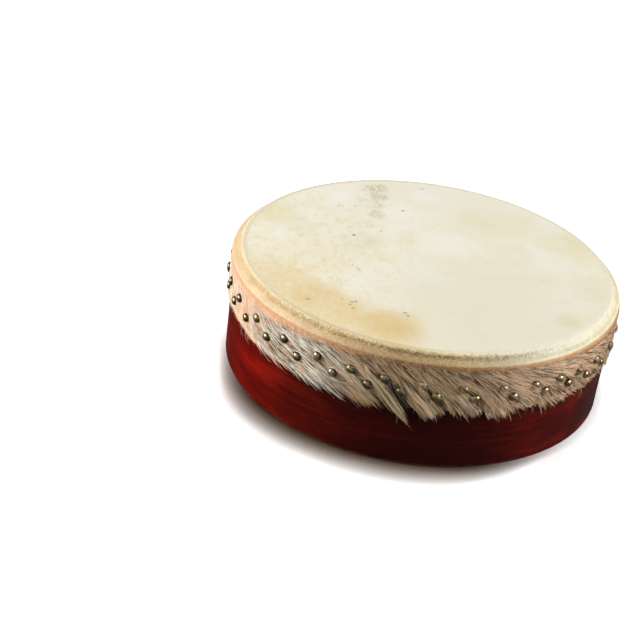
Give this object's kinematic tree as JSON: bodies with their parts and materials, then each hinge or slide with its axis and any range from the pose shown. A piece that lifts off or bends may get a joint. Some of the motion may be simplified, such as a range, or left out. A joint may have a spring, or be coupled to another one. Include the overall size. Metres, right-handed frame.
{
  "type": "bodhran",
  "caption": "Round frame drum: stained wooden shell open at the back, hair-on goatskin head nailed round the outside with domed tacks, lifted by an inner tuning hoop on bolts.",
  "frame": {"origin": "centre of the back rim's plane, on the drum's axis", "axes": "+Z along the drum's axis, from the open back to the head; +X along the crossbar"},
  "size_m": [0.4706, 0.4706, 0.1401],
  "materials": {
    "red_stained_wood": "gloss varnish over dark red stain",
    "pale_wood": "satin",
    "varnished_wood": "satin varnish",
    "goatskin": "matte rawhide, hair left on the folded skirt",
    "antique_brass": "antiqued, worn bright on the crowns",
    "zinc_steel": "zinc plated",
    "black_steel": "black oxide"
  },
  "bodies": {
    "shell": {"shell": "red_stained_wood", "goatskin_head": "goatskin", "tacks_upper_row": "antique_brass", "tacks_lower_row": "antique_brass", "crossbar": "varnished_wood", "crossbar_cleat_left": "varnished_wood", "crossbar_cleat_right": "varnished_wood", "crossbar_screw_left": "zinc_steel", "crossbar_screw_right": "zinc_steel", "tuner_bracket_1": "zinc_steel", "tuner_nut_1": "zinc_steel", "tuner_bracket_2": "zinc_steel", "tuner_nut_2": "zinc_steel", "tuner_bracket_3": "zinc_steel", "tuner_nut_3": "zinc_steel", "tuner_bracket_4": "zinc_steel", "tuner_nut_4": "zinc_steel", "tuner_bracket_5": "zinc_steel", "tuner_nut_5": "zinc_steel", "tuner_bracket_6": "zinc_steel", "tuner_nut_6": "zinc_steel", "bracket_screw_1a": "zinc_steel", "bracket_screw_1b": "zinc_steel", "bracket_screw_2a": "zinc_steel", "bracket_screw_2b": "zinc_steel", "bracket_screw_3a": "zinc_steel", "bracket_screw_3b": "zinc_steel", "bracket_screw_4a": "zinc_steel", "bracket_screw_4b": "zinc_steel", "bracket_screw_5a": "zinc_steel", "bracket_screw_5b": "zinc_steel", "bracket_screw_6a": "zinc_steel", "bracket_screw_6b": "zinc_steel"},
    "hoop": {"tuning_hoop": "pale_wood", "thrust_shoe_1": "zinc_steel", "thrust_shoe_2": "zinc_steel", "thrust_shoe_3": "zinc_steel", "thrust_shoe_4": "zinc_steel", "thrust_shoe_5": "zinc_steel", "thrust_shoe_6": "zinc_steel"},
    "bolt_1": {"tuning_bolt_1": "black_steel"},
    "bolt_2": {"tuning_bolt_2": "black_steel"},
    "bolt_3": {"tuning_bolt_3": "black_steel"},
    "bolt_4": {"tuning_bolt_4": "black_steel"},
    "bolt_5": {"tuning_bolt_5": "black_steel"},
    "bolt_6": {"tuning_bolt_6": "black_steel"}
  },
  "joints": [
    {"name": "hoop_lift", "type": "slide", "parent": "shell", "child": "hoop", "axis": [0, 0, 1], "range_m": [-0.005, 0.003], "deforming": ["goatskin_head"]},
    {"name": "bolt_1_turn", "type": "hinge", "parent": "hoop", "child": "bolt_1", "pos_m": [0.18446, 0.1065, 0], "axis": [0, 0, 1], "range_deg": [-1801, 1081]},
    {"name": "bolt_2_turn", "type": "hinge", "parent": "hoop", "child": "bolt_2", "pos_m": [0, 0.213, 0], "axis": [0, 0, 1], "range_deg": [-1801, 1081]},
    {"name": "bolt_3_turn", "type": "hinge", "parent": "hoop", "child": "bolt_3", "pos_m": [-0.18446, 0.1065, 0], "axis": [0, 0, 1], "range_deg": [-1801, 1081]},
    {"name": "bolt_4_turn", "type": "hinge", "parent": "hoop", "child": "bolt_4", "pos_m": [-0.18446, -0.1065, 0], "axis": [0, 0, 1], "range_deg": [-1801, 1081]},
    {"name": "bolt_5_turn", "type": "hinge", "parent": "hoop", "child": "bolt_5", "pos_m": [0, -0.213, 0], "axis": [0, 0, 1], "range_deg": [-1801, 1081]},
    {"name": "bolt_6_turn", "type": "hinge", "parent": "hoop", "child": "bolt_6", "pos_m": [0.18446, -0.1065, 0], "axis": [0, 0, 1], "range_deg": [-1801, 1081]}
  ],
  "couplings": [
    {"joint": "bolt_1_turn", "follows": "hoop_lift", "rad_per_m": 6283.2},
    {"joint": "bolt_2_turn", "follows": "hoop_lift", "rad_per_m": 6283.2},
    {"joint": "bolt_3_turn", "follows": "hoop_lift", "rad_per_m": 6283.2},
    {"joint": "bolt_4_turn", "follows": "hoop_lift", "rad_per_m": 6283.2},
    {"joint": "bolt_5_turn", "follows": "hoop_lift", "rad_per_m": 6283.2},
    {"joint": "bolt_6_turn", "follows": "hoop_lift", "rad_per_m": 6283.2}
  ]
}
